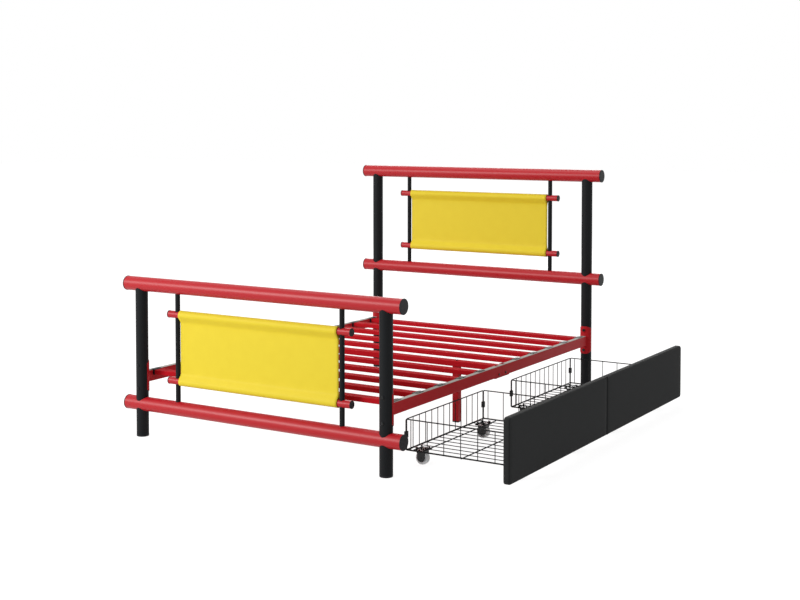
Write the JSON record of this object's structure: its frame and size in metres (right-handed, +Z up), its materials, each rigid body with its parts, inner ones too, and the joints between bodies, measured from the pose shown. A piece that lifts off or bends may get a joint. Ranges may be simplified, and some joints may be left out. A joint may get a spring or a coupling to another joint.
{
  "type": "kids metal bed with drawers",
  "caption": "Tube-steel bed with a slatted base, fabric-panelled headboard and footboard, and pull-out wire-basket drawers with padded fronts.",
  "frame": {"origin": "middle of the whole footprint on the floor, with the drawers pulled out as in the picture; the bed's own middle lies 224.75 mm from it, towards -X", "axes": "+X the way the drawers pull out, +Y towards the headboard, +Z up"},
  "size_m": [1.9256, 2.0508, 1.171],
  "materials": {
    "red_powder_coat": "satin powder coat",
    "black_powder_coat": "satin powder coat",
    "yellow_fabric": "smooth woven cloth, slightly satin",
    "black_plastic": "fine-grained moulding",
    "pale_tape": "thin matt tape",
    "black_fasteners": "black oxide",
    "front_board": "bare fibreboard",
    "charcoal_upholstery": "matt upholstery over thin foam",
    "black_wire": "powder-coated steel wire",
    "caster_plastic": "glossy moulding",
    "clear_wheel": "translucent white moulding"
  },
  "bodies": {
    "bed_frame": {"headboard_top_rail": "red_powder_coat", "headboard_lower_rail": "red_powder_coat", "headboard_left_post": "black_powder_coat", "headboard_right_post": "black_powder_coat", "headboard_spindles": "black_powder_coat", "headboard_sling_tubes": "red_powder_coat", "headboard_fabric_panel": "yellow_fabric", "footboard_top_rail": "red_powder_coat", "footboard_lower_rail": "red_powder_coat", "footboard_left_post": "black_powder_coat", "footboard_right_post": "black_powder_coat", "footboard_spindles": "black_powder_coat", "footboard_sling_tubes": "red_powder_coat", "footboard_fabric_panel": "yellow_fabric", "rail_end_caps": "black_plastic", "sling_tube_caps": "black_plastic", "foot_glides": "black_plastic", "left_side_rail_foot_half": "red_powder_coat", "left_side_rail_head_half": "red_powder_coat", "right_side_rail_foot_half": "red_powder_coat", "right_side_rail_head_half": "red_powder_coat", "rail_top_tapes": "pale_tape", "corner_brackets": "red_powder_coat", "rail_splice_channels": "red_powder_coat", "slat_01": "red_powder_coat", "slat_02": "red_powder_coat", "slat_03": "red_powder_coat", "slat_04": "red_powder_coat", "slat_05": "red_powder_coat", "slat_06": "red_powder_coat", "slat_07": "red_powder_coat", "slat_08": "red_powder_coat", "slat_09": "red_powder_coat", "slat_10": "red_powder_coat", "slat_end_clips": "black_plastic", "centre_crossbar": "red_powder_coat", "centre_support_legs": "red_powder_coat", "frame_bolts": "black_fasteners"},
    "drawer_1": {"drawer_1_front_board": "front_board", "drawer_1_front_cover": "charcoal_upholstery", "drawer_1_basket_long_walls": "black_wire", "drawer_1_basket_short_walls": "black_wire", "drawer_1_basket_floor": "black_wire", "drawer_1_basket_clips": "black_plastic", "drawer_1_caster_frames": "caster_plastic"},
    "drawer_1_wheel_1": {"drawer_1_wheel_1": "clear_wheel"},
    "drawer_1_wheel_2": {"drawer_1_wheel_2": "clear_wheel"},
    "drawer_1_wheel_3": {"drawer_1_wheel_3": "clear_wheel"},
    "drawer_1_wheel_4": {"drawer_1_wheel_4": "clear_wheel"},
    "drawer_2": {"drawer_2_front_board": "front_board", "drawer_2_front_cover": "charcoal_upholstery", "drawer_2_basket_long_walls": "black_wire", "drawer_2_basket_short_walls": "black_wire", "drawer_2_basket_floor": "black_wire", "drawer_2_basket_clips": "black_plastic", "drawer_2_caster_frames": "caster_plastic"},
    "drawer_2_wheel_1": {"drawer_2_wheel_1": "clear_wheel"},
    "drawer_2_wheel_2": {"drawer_2_wheel_2": "clear_wheel"},
    "drawer_2_wheel_3": {"drawer_2_wheel_3": "clear_wheel"},
    "drawer_2_wheel_4": {"drawer_2_wheel_4": "clear_wheel"}
  },
  "joints": [
    {"name": "drawer_1_slide", "type": "slide", "parent": "bed_frame", "child": "drawer_1", "axis": [1, 0, 0], "range_m": [-0.489, 0.1]},
    {"name": "drawer_1_wheel_1_spin", "type": "hinge", "parent": "drawer_1", "child": "drawer_1_wheel_1", "pos_m": [0.45475, -0.7485, 0.028], "axis": [0, 1, 0], "continuous": true},
    {"name": "drawer_1_wheel_2_spin", "type": "hinge", "parent": "drawer_1", "child": "drawer_1_wheel_2", "pos_m": [0.45475, -0.211, 0.028], "axis": [0, 1, 0], "continuous": true},
    {"name": "drawer_1_wheel_3_spin", "type": "hinge", "parent": "drawer_1", "child": "drawer_1_wheel_3", "pos_m": [0.89275, -0.7485, 0.028], "axis": [0, 1, 0], "continuous": true},
    {"name": "drawer_1_wheel_4_spin", "type": "hinge", "parent": "drawer_1", "child": "drawer_1_wheel_4", "pos_m": [0.89275, -0.211, 0.028], "axis": [0, 1, 0], "continuous": true},
    {"name": "drawer_2_slide", "type": "slide", "parent": "bed_frame", "child": "drawer_2", "axis": [1, 0, 0], "range_m": [-0.489, 0.1]},
    {"name": "drawer_2_wheel_1_spin", "type": "hinge", "parent": "drawer_2", "child": "drawer_2_wheel_1", "pos_m": [0.45475, 0.211, 0.028], "axis": [0, 1, 0], "continuous": true},
    {"name": "drawer_2_wheel_2_spin", "type": "hinge", "parent": "drawer_2", "child": "drawer_2_wheel_2", "pos_m": [0.45475, 0.7485, 0.028], "axis": [0, 1, 0], "continuous": true},
    {"name": "drawer_2_wheel_3_spin", "type": "hinge", "parent": "drawer_2", "child": "drawer_2_wheel_3", "pos_m": [0.89275, 0.211, 0.028], "axis": [0, 1, 0], "continuous": true},
    {"name": "drawer_2_wheel_4_spin", "type": "hinge", "parent": "drawer_2", "child": "drawer_2_wheel_4", "pos_m": [0.89275, 0.7485, 0.028], "axis": [0, 1, 0], "continuous": true}
  ],
  "couplings": [
    {"joint": "drawer_1_wheel_1_spin", "follows": "drawer_1_slide", "rad_per_m": 35.714},
    {"joint": "drawer_1_wheel_2_spin", "follows": "drawer_1_slide", "rad_per_m": 35.714},
    {"joint": "drawer_1_wheel_3_spin", "follows": "drawer_1_slide", "rad_per_m": 35.714},
    {"joint": "drawer_1_wheel_4_spin", "follows": "drawer_1_slide", "rad_per_m": 35.714},
    {"joint": "drawer_2_wheel_1_spin", "follows": "drawer_2_slide", "rad_per_m": 35.714},
    {"joint": "drawer_2_wheel_2_spin", "follows": "drawer_2_slide", "rad_per_m": 35.714},
    {"joint": "drawer_2_wheel_3_spin", "follows": "drawer_2_slide", "rad_per_m": 35.714},
    {"joint": "drawer_2_wheel_4_spin", "follows": "drawer_2_slide", "rad_per_m": 35.714}
  ]
}
